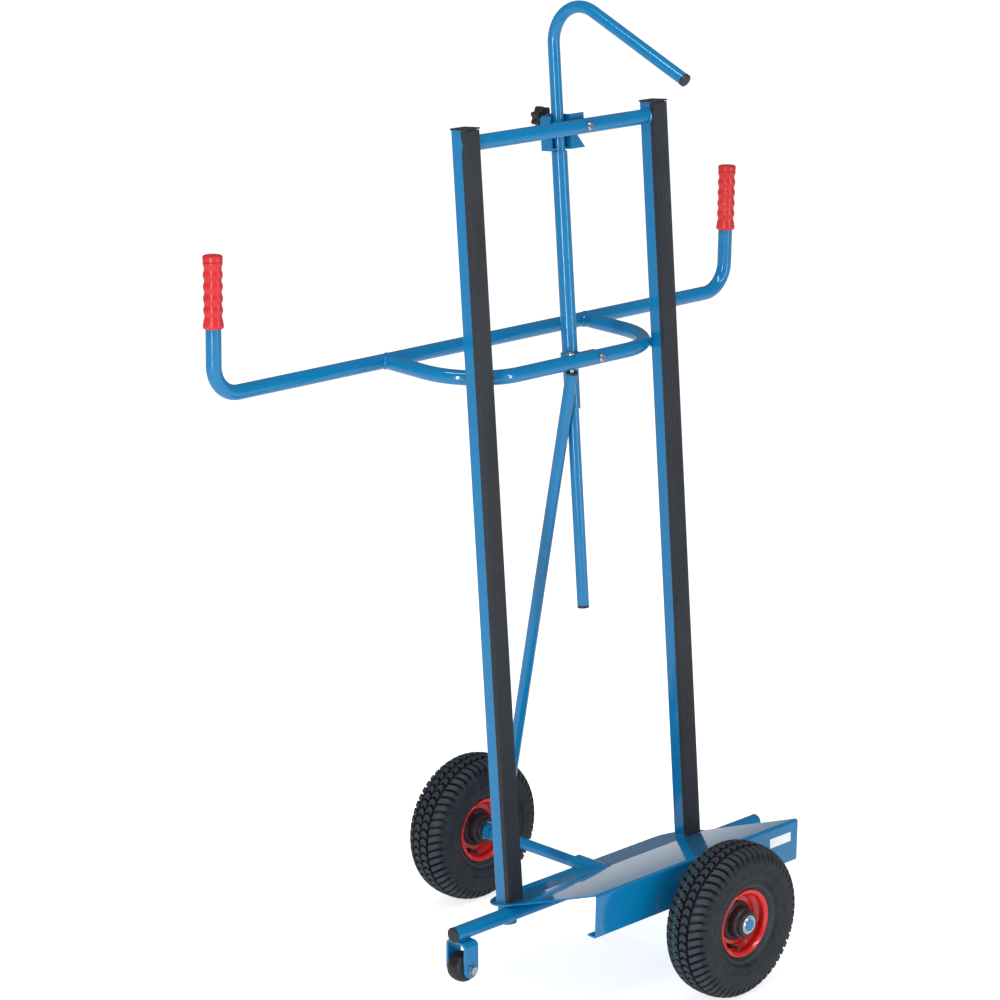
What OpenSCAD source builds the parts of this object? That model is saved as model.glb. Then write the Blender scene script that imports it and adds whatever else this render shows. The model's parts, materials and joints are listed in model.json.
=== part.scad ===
// Hand truck for panels, doors and plates: two air tyres on one axle, a folded steel
// shelf, two rubber-faced posts leaning back, a height-adjustable hook that comes over
// the top, a wide handle bar with upright grips, and a small fixed castor at one end.
// Millimetres. X is the way it rolls, -Y is the side the panel stands on, +Z is up.

/* [Wheels and axle] */
// Outside diameter of the air tyres
tyre_d = 260; // [200:2:320]
// Width of the air tyres
tyre_w = 86; // [70:1:100]
// Distance between the middles of the two tyres
track = 604; // [520:2:700]
// Diameter of the fixed axle
axle_d = 20; // [16:1:25]
// Outside diameter of the tube the axle goes through
sleeve_d = 30; // [28:1:36]
// Outside diameter of the rims
rim_d = 115; // [105:1:130]

/* [Shelf] */
// Length of the folded shelf
shelf_l = 494; // [400:2:620]
// Depth of the sloping panel, from the crease to the front fold
panel_depth = 222; // [150:1:280]
// Slope of that panel
panel_deg = 20.4; // [0:0.1:25]
// Depth of the strip behind the crease
strip_depth = 72; // [60:1:100]
// Slope of that strip
strip_deg = 13.7; // [0:0.1:20]
// Height of the front flange
flange_h = 76.5; // [40:0.5:110]
// Depth of the lip folded in under the flange
lip_w = 19; // [10:1:30]
// Thickness of the sheet
sheet_t = 3; // [2:0.5:5]
// Radius of the strip's rounded back corners
ear_r = 60; // [20:1:65]
// Height of the crease over the floor
seat_z = 143.8; // [141:0.1:160]
// Place of the crease, front to back
seat_y = -25; // [-40:1:0]

/* [Posts] */
// How far the posts lean back
lean_deg = 4.6; // [0:0.1:8]
// Distance between the middles of the posts
post_gap = 438; // [360:1:520]
// Side of the square tube
post_w = 30; // [25:1:40]
// Length of the posts
post_h = 1272; // [900:1:1500]
// Thickness of the rubber in front of the posts
pad_t = 5; // [4:0.5:8]
// How far the rubber reaches back along the sides
pad_lip = 5; // [3:0.5:8]

/* [Tubes] */
// Outside diameter of the frame tubes
tube_d = 25; // [22:0.5:28]
// Wall of the tubes
tube_t = 2; // [1.5:0.25:3]
// Height of the crossbar along the posts
crossbar_w = 1248; // [1000:0.5:1400]
// Height of the lower loop along the posts
loop_w = 864.5; // [600:0.5:1000]
// Bend radius of the loop
loop_r = 108; // [80:1:130]
// Wall of the left half of the bottom rail, which carries the castor
arm_t = 5; // [2:0.25:6]
// Half length of the bottom rail
rail_half = 370; // [300:1:420]
// Place of the bottom rail, front to back
rail_y = -31.5; // [-45:0.5:-29]

/* [Handle bar] */
// Width between the grips
handle_w = 1202; // [1000:2:1400]
// Height of the bar
handle_z = 1011; // [900:1:1100]
// Place of the bar, front to back
handle_y = 266; // [220:1:300]
// How far the uprights lean forward
handle_lean = 1; // [0:0.1:6]
// Bend radius at the ends of the bar
handle_r = 50; // [40:1:80]
// Height of the uprights over the bar
upright_h = 222; // [180:1:280]
// Length of the grips
grip_l = 115; // [90:1:140]
// Largest diameter of the grips
grip_d = 33; // [30:0.5:38]

/* [Hook] */
// Outside diameter of the hook tube
hook_d = 20; // [18:0.5:22]
// Outside diameter of the guide tube
guide_d = 26; // [25:0.5:30]
// Place of the guide along X
guide_x = 19.3; // [15:0.1:22]
// Bottom end of the guide along the posts
guide_low = 782; // [650:1:800]
// Top end of the guide along the posts
guide_top = 1210; // [1100:1:1300]
// Bottom end of the hook tube
hook_low = 446; // [380:1:650]
// Where the hook starts to bend
hook_bend_w = 1383; // [1340:1:1500]
// Bend radius of the hook
hook_r = 62; // [45:1:80]
// Turn of the bend
hook_turn = 119; // [90:1:140]
// Length of the straight arm
hook_arm = 217; // [150:1:280]

/* [Castor] */
// Diameter of the castor wheel
castor_d = 50; // [40:1:60]
// Width of the castor wheel
castor_w = 32; // [26:1:40]
// Place of the castor along X
castor_x = -351; // [-380:1:-300]
// Height of the castor axle over the floor
castor_z = 69.5; // [65:0.5:80]
// Width of the fork strap
fork_w = 29; // [24:1:34]

/* [Hidden] */
$fn = 64;
run_gap = 0.05;        // radial running clearance
skin_gap = 0.3;        // between faces of pieces that move past each other
touch = 0.02;          // between faces welded or pressed together
axle_z = tyre_d / 2;
post_x = post_gap / 2;
tube_r = tube_d / 2;
tube_in = tube_r - tube_t;
mid_v = pad_t + post_w / 2;                    // middle of the post tube, from the crease
back_v = pad_t + post_w;
guide_r = guide_d / 2;
hook_tube_r = hook_d / 2;
guide_v = mid_v + tube_r + guide_r + touch;    // guide just behind crossbar and loop
rail_z = seat_z - sheet_t - tube_r + 0.7;
corner_dy = loop_r - post_w / 2;
corner_dx = sqrt(pow(loop_r + tube_r + 0.15, 2) - corner_dy * corner_dy);
loop_cx = post_x - post_w / 2 - corner_dx;     // middle of the loop's bends
loop_x = loop_cx + loop_r;                     // legs of the loop
loop_y = seat_y + mid_v * cos(lean_deg) + loop_w * sin(lean_deg);
loop_z = seat_z - mid_v * sin(lean_deg) + loop_w * cos(lean_deg);
loop_tilt = atan2(handle_z - loop_z, handle_y - loop_y);
loop_leg = norm([handle_y - loop_y, handle_z - loop_z]);
brace_x = guide_x - guide_r - hook_tube_r - 1.5;
brace_w = loop_w - tube_r - 6;                 // top end of the brace
brace_top = [brace_x, seat_y + mid_v * cos(lean_deg) + brace_w * sin(lean_deg),
             seat_z - mid_v * sin(lean_deg) + brace_w * cos(lean_deg)];
brace_low = [0, track / 2 - 72, axle_z];
front_y = seat_y - panel_depth * cos(panel_deg);
front_z = seat_z + panel_depth * sin(panel_deg);
bolt_x = guide_x + guide_r + 9 + 13;           // bolts right of the guide
clamp_low = guide_top + 2;
clamp_top = crossbar_w + 21;
web_v = guide_v + hook_tube_r + 3;             // inner face of the clamp's back web
strap_t = 4;
knob_w = crossbar_w + 16;
hub_half = 37;
axle_half = track / 2 + hub_half + 3.5;
castor_fork_t = 4.5;
castor_gap = castor_w / 2 + 2;                 // half the space between the fork legs
socket_y = rail_y + tube_r + 16 + touch;

steel_blue = [0.03, 0.42, 0.72];
black = [0.07, 0.07, 0.08];
red = [0.85, 0.08, 0.07];
zinc = [0.75, 0.76, 0.78];

// ---- helpers ----
// The frame of the posts: origin on the crease, Y back from the rubber, Z up the posts.
module lean() translate([0, seat_y, seat_z]) rotate([-lean_deg, 0, 0]) children();

module rod(p, q, r) {
  v = q - p;
  translate(p) rotate([0, acos(v[2] / norm(v)), atan2(v[1], v[0])]) cylinder(r = r, h = norm(v));
}

module pipe(r, wall, h) difference() {
  cylinder(r = r, h = h);
  translate([0, 0, -1]) cylinder(r = r - wall, h = h + 2);
}

// A bend in the XZ plane: starts at the origin going up +Z and turns towards -X.
module bend(r_bend, r_out, r_in, turn) translate([-r_bend, 0, 0]) rotate([90, 0, 0])
  rotate_extrude(angle = turn) translate([r_bend, 0]) difference() {
    circle(r = r_out);
    if (r_in > 0) circle(r = r_in);
  }

module round_square(w, d, r) {
  square([w - 2 * r, d], center = true);
  square([w, d - 2 * r], center = true);
  for (i = [-1, 1], j = [-1, 1]) translate([i * (w / 2 - r), j * (d / 2 - r)]) circle(r = r);
}

// Everything under the top face of the strip that carries the posts.
module under_strip(drop = 0) translate([0, seat_y, seat_z]) rotate([-strip_deg, 0, 0])
  translate([-400, -150, -120 - drop]) cube([800, 300, 120]);

// A round-headed screw along +Z from the underside of its head, with a hex socket.
module button_screw(d, len, head_d, head_h) difference() {
  union() {
    cylinder(d = d, h = len);
    translate([0, 0, -head_h * 0.45]) cylinder(d = head_d, h = head_h * 0.45);
    translate([0, 0, -head_h]) cylinder(d1 = head_d * 0.62, d2 = head_d, h = head_h * 0.55);
  }
  translate([0, 0, -head_h - 1]) cylinder(d = d * 0.62, h = head_h * 0.75 + 1, $fn = 6);
}

module hex_nut(d, w, h) difference() {
  cylinder(d = w / cos(30), h = h, $fn = 6);
  translate([0, 0, -1]) cylinder(d = d + 2 * touch, h = h + 2);
}

// ---- shelf ----
function unit(a) = a / norm(a);
function left_of(a) = [-a[1], a[0]];
function mitre(a, b, c, t) = let (n1 = left_of(unit(b - a)), n2 = left_of(unit(c - b)))
  b + t * (n1 + n2) / (1 + n1 * n2);

shelf_line = [
  [seat_y + strip_depth * cos(strip_deg), seat_z - strip_depth * sin(strip_deg)],
  [seat_y, seat_z],
  [front_y, front_z],
  [front_y + 1.5, front_z - flange_h],
  [front_y + 1.5 + lip_w, front_z - flange_h + 1]];

module shelf_profile() {
  n = len(shelf_line);
  first = shelf_line[0] + sheet_t * left_of(unit(shelf_line[1] - shelf_line[0]));
  last = shelf_line[n - 1] + sheet_t * left_of(unit(shelf_line[n - 1] - shelf_line[n - 2]));
  inner = [for (i = [1 : n - 2])
    mitre(shelf_line[i - 1], shelf_line[i], shelf_line[i + 1], sheet_t)];
  back = [for (i = [len(inner) - 1 : -1 : 0]) inner[i]];
  polygon(concat(shelf_line, [last], back, [first]));
}

module ear_cut(side) {
  r = ear_r;
  edge_y = seat_y + strip_depth * cos(strip_deg);
  translate([side * (shelf_l / 2 - r), edge_y - r, seat_z - 60]) difference() {
    translate([side > 0 ? 0 : -r - 1, 0, 0]) cube([r + 1, r + 1, 80]);
    translate([0, 0, -1]) cylinder(r = r, h = 82);
  }
}

module shelf() color(steel_blue) difference() {
  translate([shelf_l / 2, 0, 0]) rotate([90, 0, -90]) linear_extrude(shelf_l)
    mirror([1, 0]) shelf_profile();
  ear_cut(-1);
  ear_cut(1);
  translate([0, seat_y + strip_depth + 5, axle_z]) rotate([90, 0, 0])
    cylinder(r = sleeve_d / 2 + touch, h = strip_depth + 200);
}

// ---- posts ----
module post(side) color(steel_blue) difference() {
  lean() translate([side * post_x, mid_v, -25]) linear_extrude(post_h + 25) difference() {
    round_square(post_w, post_w, 3);
    square(post_w - 2 * tube_t, center = true);
  }
  under_strip(-touch);
}
module left_post() post(-1);
module right_post() post(1);

// Rubber section: ribbed face in front, two long hollows, lips along the sides of the tube.
module pad_section() difference() {
  w = post_w + 2.6;
  ribs = 8;
  translate([0, 0.9]) union() {
    translate([-w / 2, 0.6]) square([w, pad_t + pad_lip - 1]);
    for (i = [0 : ribs - 1]) translate([-w / 2 + 2 + (i + 0.5) * (w - 4) / ribs, 0.6])
      scale([1, 0.5]) circle(r = (w - 4) / ribs / 2 - 0.2, $fn = 16);
  }
  translate([-post_w / 2 - touch, pad_t]) square([post_w + 2 * touch, 40]);
  for (i = [-1, 1]) translate([i * 7.4 - 5.4, 2.2]) square([10.8, 1.7]);
}
module pad(side) color(black) difference() {
  lean() translate([side * post_x, 0, -20]) linear_extrude(post_h + 18.5) pad_section();
  under_strip(-0.4);
  lean() translate([-post_gap, mid_v, crossbar_w]) rotate([0, 90, 0])
    cylinder(r = tube_r + skin_gap, h = 2 * post_gap);
}
module left_pad() pad(-1);
module right_pad() pad(1);

module post_cap(side) color(black) lean() translate([side * post_x, mid_v, post_h]) {
  translate([0, -pad_t / 2, touch]) linear_extrude(2.4)
    round_square(post_w + 3.5, post_w + pad_t + 2.5, 3);
  translate([0, 0, -14]) linear_extrude(14 + touch) square(post_w - 2 * tube_t - 2 * touch, center = true);
}
module left_post_cap() post_cap(-1);
module right_post_cap() post_cap(1);

// ---- crossbar and loop ----
module crossbar() color(steel_blue) difference() {
  half = post_x - post_w / 2 - touch;
  lean() translate([-half, mid_v, crossbar_w]) rotate([0, 90, 0]) pipe(tube_r, tube_t, 2 * half);
  lean() translate([bolt_x, 0, crossbar_w]) rotate([-90, 0, 0]) cylinder(d = 8.4, h = 60);
}

module loop_shape(r_out) translate([0, loop_y, loop_z]) rotate([loop_tilt, 0, 0]) {
  for (s = [-1, 1]) {
    translate([s * loop_x, loop_r, 0]) rotate([-90, 0, 0])
      cylinder(r = r_out, h = loop_leg - loop_r);
    translate([s * loop_cx, loop_r, 0]) rotate([0, 0, s > 0 ? -90 : 180])
      rotate_extrude(angle = 90) translate([loop_r, 0]) circle(r = r_out);
  }
  translate([-loop_cx, 0, 0]) rotate([0, 90, 0]) cylinder(r = r_out, h = 2 * loop_cx);
}
module loop_tube() color(steel_blue) difference() {
  loop_shape(tube_r);
  loop_shape(tube_in);
  translate([-400, handle_y, handle_z]) rotate([0, 90, 0]) cylinder(r = tube_r + touch, h = 800);
  lean() translate([bolt_x, 0, loop_w]) rotate([-90, 0, 0]) cylinder(d = 8.4, h = 60);
  lean() translate([brace_x, mid_v, loop_w - 20]) cylinder(d = 8.4, h = 40);
}

// ---- handle bar ----
module handle_frame() translate([0, handle_y, handle_z]) rotate([handle_lean, 0, 0]) children();
module handle_shape(r_out, extra = 0) {
  half = handle_w / 2;
  translate([-half + handle_r, 0, 0]) rotate([0, 90, 0])
    cylinder(r = r_out, h = handle_w - 2 * handle_r);
  for (s = [-1, 1]) {
    translate([s * (half - handle_r), 0, handle_r]) rotate([90, s > 0 ? 90 : 180, 0])
      rotate_extrude(angle = 90) translate([handle_r, 0]) circle(r = r_out);
    translate([s * half, 0, handle_r]) cylinder(r = r_out, h = upright_h - handle_r + extra);
  }
}
module handle_bar() color(steel_blue) handle_frame() difference() {
  handle_shape(tube_r);
  handle_shape(tube_in, 1);
}

// Plastic grip: a collar, five shallow waves, a ring groove and a closed top.
module grip_shape() {
  r0 = tube_r + touch;
  waves = 5;
  body = grip_l - 22;
  steps = 60;
  side = [for (i = [0 : steps]) let (t = i / steps)
    [grip_d / 2 - 1.3 + 1.1 * cos(360 * waves * t), 8 + body * t]];
  rotate_extrude() polygon(concat(
    [[r0, 0], [grip_d / 2, 0], [grip_d / 2, 5], [grip_d / 2 - 2, 7]], side,
    [[grip_d / 2 - 2.4, grip_l - 12], [grip_d / 2 - 0.3, grip_l - 10],
     [grip_d / 2 - 0.3, grip_l - 4], [grip_d / 2 - 3.5, grip_l],
     [0, grip_l], [0, grip_l - 4], [r0, grip_l - 4]]));
}
module grip(side) color(red) handle_frame()
  translate([side * handle_w / 2, 0, upright_h - grip_l + 4 + touch]) grip_shape();
module left_grip() grip(-1);
module right_grip() grip(1);

// ---- guide, clamp and hook ----
module guide_tube() color(steel_blue) lean() translate([guide_x, guide_v, guide_low])
  difference() {
    cylinder(r = guide_r, h = guide_top - guide_low);
    translate([0, 0, -1]) cylinder(r = hook_tube_r + run_gap, h = guide_top - guide_low + 2);
  }

// Strap that goes round the back of the guide and is bolted to the loop.
module guide_strap() color(steel_blue) lean() translate([0, 0, loop_w]) difference() {
  face_v = mid_v + tube_r + touch;
  union() {
    translate([guide_x, guide_v, -11]) cylinder(r = guide_r + 3, h = 22);
    translate([guide_x, face_v, -11]) cube([bolt_x - guide_x + 11, 3, 22]);
  }
  translate([guide_x, guide_v, -12]) cylinder(r = guide_r + touch, h = 24);
  translate([guide_x - 40, face_v - 20, -12]) cube([80, 20, 24]);
  translate([bolt_x, 0, 0]) rotate([-90, 0, 0]) cylinder(d = 8.4, h = 60);
}

module clamp_bracket() color(steel_blue) lean() difference() {
  h = clamp_top - clamp_low;
  left = guide_x - hook_tube_r - 14;
  right = guide_x + hook_tube_r + 9;
  face_v = mid_v + tube_r + touch;
  union() {
    translate([left, web_v, clamp_low]) cube([right - left, strap_t, h]);
    translate([left, face_v + 8, clamp_low]) cube([strap_t, web_v - face_v - 8 + 1, h]);
    translate([right - strap_t, face_v, clamp_low]) cube([strap_t, web_v - face_v + 1, h]);
    translate([right - strap_t, face_v, clamp_low]) cube([bolt_x + 13 - right + strap_t, strap_t, h]);
    translate([left, face_v + 8, clamp_low]) cube([right - left, web_v - face_v - 8, strap_t]);
  }
  translate([guide_x, guide_v, clamp_low - 1]) cylinder(r = hook_tube_r + 0.3, h = h + 2);
  translate([bolt_x, 0, crossbar_w]) rotate([-90, 0, 0]) cylinder(d = 8.4, h = 60);
  translate([guide_x, web_v - 5, knob_w]) rotate([-90, 0, 0]) cylinder(r = 4 + skin_gap, h = 20);
  // cut corners: right flange slopes in below, left web corners are rounded off
  translate([bolt_x + 13, face_v - 1, clamp_low]) rotate([0, -38, 0]) translate([0, 0, -30])
    cube([30, strap_t + 2, 60]);
  translate([left - 1, web_v - 1, clamp_top - 6]) rotate([0, -45, 0]) cube([20, strap_t + 2, 20]);
}

// Nut welded on the back web; the knob's screw turns in it and presses on the hook tube.
module clamp_nut() color(zinc) lean() translate([guide_x, web_v + strap_t + touch, knob_w])
  rotate([-90, 0, 0]) difference() {
    cylinder(d = 15, h = 6.5, $fn = 6);
    translate([0, 0, -1]) cylinder(r = 4 + run_gap, h = 9);
  }
module clamp_screw() color(zinc) lean()
  translate([guide_x, guide_v + hook_tube_r + skin_gap, knob_w]) rotate([-90, 0, 0])
    cylinder(r = 4, h = web_v + strap_t + 13 - guide_v - hook_tube_r);
module clamp_knob() color(black) lean()
  translate([guide_x, web_v + strap_t + 8.5, knob_w]) rotate([-90, 0, 0]) difference() {
    union() {
      cylinder(r = 9, h = 4);
      translate([0, 0, 3]) linear_extrude(15) {
        circle(r = 14.5);
        for (i = [0 : 6]) rotate(i * 360 / 7) translate([13.6, 0]) circle(r = 5.4);
      }
      translate([0, 0, 17]) cylinder(r1 = 12, r2 = 8.5, h = 3.5);
    }
    translate([0, 0, -1]) cylinder(r = 4 + touch, h = 6 + skin_gap);
  }

module crossbar_bolt() color(zinc) lean()
  translate([bolt_x, mid_v - tube_r - 0.7, crossbar_w]) rotate([-90, 0, 0])
    button_screw(8, tube_d + strap_t + 9.5, 14, 4.4);
module crossbar_nut() color(zinc) lean()
  translate([bolt_x, mid_v + tube_r + strap_t + 3 * touch, crossbar_w]) rotate([-90, 0, 0])
    hex_nut(8, 13, 6.5);
module loop_bolt() color(zinc) lean()
  translate([bolt_x, mid_v - tube_r - 0.7, loop_w]) rotate([-90, 0, 0])
    button_screw(8, tube_d + 12, 14, 4.4);
module loop_nut() color(zinc) lean()
  translate([bolt_x, mid_v + tube_r + 3 + 3 * touch, loop_w]) rotate([-90, 0, 0]) hex_nut(8, 13, 6.5);

// Upright bolt through the loop into the brace's plug.
module brace_bolt() color(zinc) lean() translate([brace_x, mid_v, loop_w + tube_r + 0.7])
  rotate([180, 0, 0]) button_screw(8, tube_d + 12, 14, 4.4);

module brace_line(r, e0, e1) {
  dir = unit(brace_low - brace_top);
  rod(brace_top + e0 * dir, brace_low + e1 * dir, r);
}
module brace_tube() color(steel_blue) difference() {
  brace_line(hook_tube_r, 0, 0);
  brace_line(hook_tube_r - tube_t, -1, 5);
  translate([0, 0, axle_z]) rotate([-90, 0, 0]) cylinder(r = axle_d / 2 + touch, h = 400);
}
module brace_cap() color(black) difference() {
  union() {
    brace_line_top(hook_tube_r + 0.4, -3.2, -touch);
    brace_line_top(hook_tube_r - tube_t - touch, -touch - 0.1, 14);
  }
  lean() translate([brace_x, mid_v, loop_w - 60]) cylinder(d = 8.1, h = 60);
}
module brace_line_top(r, e0, e1) {
  dir = unit(brace_low - brace_top);
  rod(brace_top + e0 * dir, brace_top + e1 * dir, r);
}

module hook_shape(r_out, e) {
  translate([0, 0, hook_low - e]) cylinder(r = r_out, h = hook_bend_w - hook_low + e);
  translate([0, 0, hook_bend_w]) rotate([0, 0, 90]) {
    bend(hook_r, r_out, 0, hook_turn);
    translate([-hook_r, 0, 0]) rotate([0, -hook_turn, 0]) translate([hook_r, 0, 0])
      cylinder(r = r_out, h = hook_arm + e);
  }
}
module hook_tube() color(steel_blue) lean() translate([guide_x, guide_v, 0]) difference() {
  hook_shape(hook_tube_r, 0);
  hook_shape(hook_tube_r - tube_t, 1);
}
module hook_end_cap() color(black) lean() translate([guide_x, guide_v, hook_bend_w])
  rotate([0, 0, 90]) translate([-hook_r, 0, 0]) rotate([0, -hook_turn, 0])
    translate([hook_r, 0, hook_arm]) {
      translate([0, 0, touch]) cylinder(r = hook_tube_r + 0.5, h = 4);
      translate([0, 0, 4]) cylinder(r1 = hook_tube_r + 0.5, r2 = hook_tube_r - 3, h = 1.6);
      translate([0, 0, -14]) cylinder(r = hook_tube_r - tube_t - touch, h = 14.5);
    }
// The bottom plug rides with the slide, and the hook tube swivels on its pin.
module hook_low_cap() color(black) lean() translate([guide_x, guide_v, hook_low]) {
  translate([0, 0, -4.5 - skin_gap]) cylinder(r = hook_tube_r - 0.2, h = 4.5);
  translate([0, 0, -4.5]) cylinder(r = hook_tube_r - tube_t - run_gap, h = 20);
}

// ---- bottom rail ----
module rail(side) color(steel_blue) difference() {
  translate([side > 0 ? 0 : -rail_half, rail_y, rail_z]) rotate([0, 90, 0])
    pipe(tube_r, side < 0 ? arm_t : tube_t, rail_half);
  translate([0, 100, axle_z]) rotate([90, 0, 0]) cylinder(r = sleeve_d / 2 + touch, h = 300);
}
module left_rail() rail(-1);
module right_rail() rail(1);
module rail_cap(side) color(black) translate([side * rail_half, rail_y, rail_z])
  rotate([0, side * 90, 0]) {
    translate([0, 0, touch]) cylinder(r = tube_r + 0.2, h = 1.8);
    translate([0, 0, 1.8]) cylinder(r1 = tube_r + 0.2, r2 = tube_r - 3, h = 1.4);
    translate([0, 0, -14]) cylinder(r = tube_r - (side < 0 ? arm_t : tube_t) - touch, h = 14.5);
  }
module left_rail_cap() rail_cap(-1);
module right_rail_cap() rail_cap(1);

// Short round sockets under the posts, welded between the strip and the rail.
module socket(side) color(steel_blue) intersection() {
  translate([side * post_x, socket_y, 101]) difference() {
    cylinder(r = 16, h = 60);
    translate([0, 0, 4]) cylinder(r = 12.5, h = 60);
  }
  under_strip(sheet_t + touch);
}
module left_socket() socket(-1);
module right_socket() socket(1);

// ---- axle ----
sleeve_back = seat_y + strip_depth * cos(strip_deg) + 2;
sleeve_front = front_y + 1.5 + lip_w + 6;
module axle_sleeve() color(steel_blue) translate([0, sleeve_back, axle_z]) rotate([90, 0, 0])
  difference() {
    cylinder(r = sleeve_d / 2, h = sleeve_back - sleeve_front);
    translate([0, 0, -1]) cylinder(r = axle_d / 2 + touch, h = sleeve_back - sleeve_front + 2);
  }
module axle() color(steel_blue) translate([0, axle_half, axle_z]) rotate([90, 0, 0]) {
  cylinder(r = axle_d / 2, h = 2 * axle_half);
}
// Spacer collars on the inner sides of the wheels, fixed on the axle.
module axle_collars() color(steel_blue) for (s = [-1, 1])
  translate([0, s * (track / 2 - hub_half - skin_gap), axle_z]) rotate([s * 90, 0, 0])
    difference() {
      cylinder(r = 14, h = 14);
      translate([0, 0, -1]) cylinder(r = axle_d / 2 + touch, h = 16);
    }
// Push-on rings that keep the wheels on the axle.
module axle_rings() color(zinc) for (s = [-1, 1])
  translate([0, s * (track / 2 + hub_half + skin_gap), axle_z]) rotate([-s * 90, 0, 0])
    difference() {
      union() {
        cylinder(r = 15.5, h = 1.2);
        cylinder(r1 = 13.5, r2 = 12, h = 2.6);
      }
      translate([0, 0, -1]) cylinder(r = axle_d / 2 + touch, h = 5);
    }

// ---- wheels: local axis along Y ----
rim_r = rim_d / 2;
seat_r = rim_r - 5.7;
function power(a, n) = sign(a) * pow(abs(a), n);
tyre_mid = (tyre_d / 2 + rim_r - 3.5) / 2;
tyre_half = (tyre_d / 2 - rim_r + 3.5) / 2;
function tyre_ring(dh, db, a) = [tyre_mid + (tyre_half - dh) * power(cos(a), 0.82),
                                 (tyre_w / 2 - db) * power(sin(a), 0.72)];
module turned() rotate([90, 0, 0]) rotate_extrude($fn = 96) children();

module tyre_shape() turned() polygon(concat(
  [for (a = [-140 : 10 : 140]) tyre_ring(0, 0, a)],
  [[rim_r + 1, 26.5], [seat_r + 0.1, 26.5], [seat_r + 0.1, 19.5]],
  [for (a = [135 : -15 : -135]) tyre_ring(8, 7, a)],
  [[seat_r + 0.1, -19.5], [seat_r + 0.1, -26.5], [rim_r + 1, -26.5]]));

module rim_shape() turned() {
  s = seat_r;
  polygon([[rim_r, -30], [rim_r, -27], [s, -27], [s, -18], [s - 8, -12], [s - 8, 12], [s, 18],
    [s, 27], [rim_r, 27], [rim_r, 30], [rim_r - 2, 31], [s - 3, 28.5], [s - 3, 17],
    [s - 11, 10.5], [s - 11, -10.5], [s - 3, -17], [s - 3, -28.5], [rim_r - 2, -31]]);
}
module hub_shape() turned() {
  r = seat_r - 11 - touch;
  polygon([[15.5, -hub_half], [20.5, -hub_half], [21.5, -30], [24.5, -28], [25.5, -13],
    [r - 4, -10], [r, -9], [r, 9], [r - 4, 10], [25.5, 13], [24.5, 28], [21.5, 30],
    [20.5, hub_half], [15.5, hub_half]]);
}
module bearing_shape() for (s = [-1, 1]) rotate([-s * 90, 0, 0])
  translate([0, 0, hub_half - 13]) difference() {
    cylinder(r = 15.5 - touch, h = 12.5);
    translate([0, 0, -1]) cylinder(r = axle_d / 2 + run_gap, h = 15);
  }
module valve_shape() rotate([0, 39, 0]) translate([0, -15.6, -(seat_r - 8.4)]) rotate([90, 0, 0]) {
  cylinder(r = 3.4, h = 12);
  translate([0, 0, 12]) cylinder(r = 2.4, h = 7);
  translate([0, 0, 19]) cylinder(r = 2.9, h = 6);
}
module at_front() translate([0, -track / 2, axle_z]) children();
module at_back() translate([0, track / 2, axle_z]) children();
module front_tyre() color(black) at_front() tyre_shape();
module front_rim() color(red) at_front() rim_shape();
module front_hub() color(black) at_front() hub_shape();
module front_bearings() color(zinc) at_front() bearing_shape();
module front_valve() color(black) at_front() valve_shape();
module back_tyre() color(black) at_back() tyre_shape();
module back_rim() color(red) at_back() rim_shape();
module back_hub() color(black) at_back() hub_shape();
module back_bearings() color(zinc) at_back() bearing_shape();
module back_valve() color(black) at_back() valve_shape();

// ---- castor ----
module at_castor() translate([castor_x, rail_y, castor_z]) children();
module castor_fork() color(steel_blue) at_castor() {
  top = rail_z - tube_r - castor_z - touch;
  r_out = 9;
  outer = castor_gap + castor_fork_t;
  difference() {
    rotate([90, 0, 90]) translate([0, 0, -fork_w / 2]) linear_extrude(fork_w) difference() {
      union() {
        translate([-outer, -fork_w / 2]) square([2 * outer, top + fork_w / 2 - r_out]);
        translate([-outer + r_out, 0]) square([2 * (outer - r_out), top]);
        for (s = [-1, 1]) translate([s * (outer - r_out), top - r_out]) circle(r = r_out);
      }
      translate([-castor_gap, -fork_w]) square([2 * castor_gap, top + fork_w - castor_fork_t - 5]);
      translate([-castor_gap + 5, 0]) square([2 * castor_gap - 10, top - castor_fork_t]);
      for (s = [-1, 1]) translate([s * (castor_gap - 5), top - castor_fork_t - 5]) circle(r = 5);
    }
    rotate([90, 0, 0]) translate([0, 0, -60]) cylinder(d = 8.2, h = 120);
    for (s = [-1, 1]) difference() {
      translate([s > 0 ? 0 : -fork_w, -60, -fork_w]) cube([fork_w, 120, fork_w]);
      rotate([90, 0, 0]) translate([0, 0, -61]) cylinder(r = fork_w / 2, h = 122);
    }
  }
}
module castor_wheel() color(black) at_castor() rotate([90, 0, 0]) rotate_extrude() {
  r = castor_d / 2;
  h = castor_w / 2;
  polygon(concat([[6.05 + run_gap, -h], [r - 9, -h]],
    [for (a = [-80 : 10 : 80]) [r - 9 + 9 * pow(cos(a), 0.7), (h - 0.5) * sin(a)]],
    [[r - 9, h], [6.05 + run_gap, h]]));
}
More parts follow.
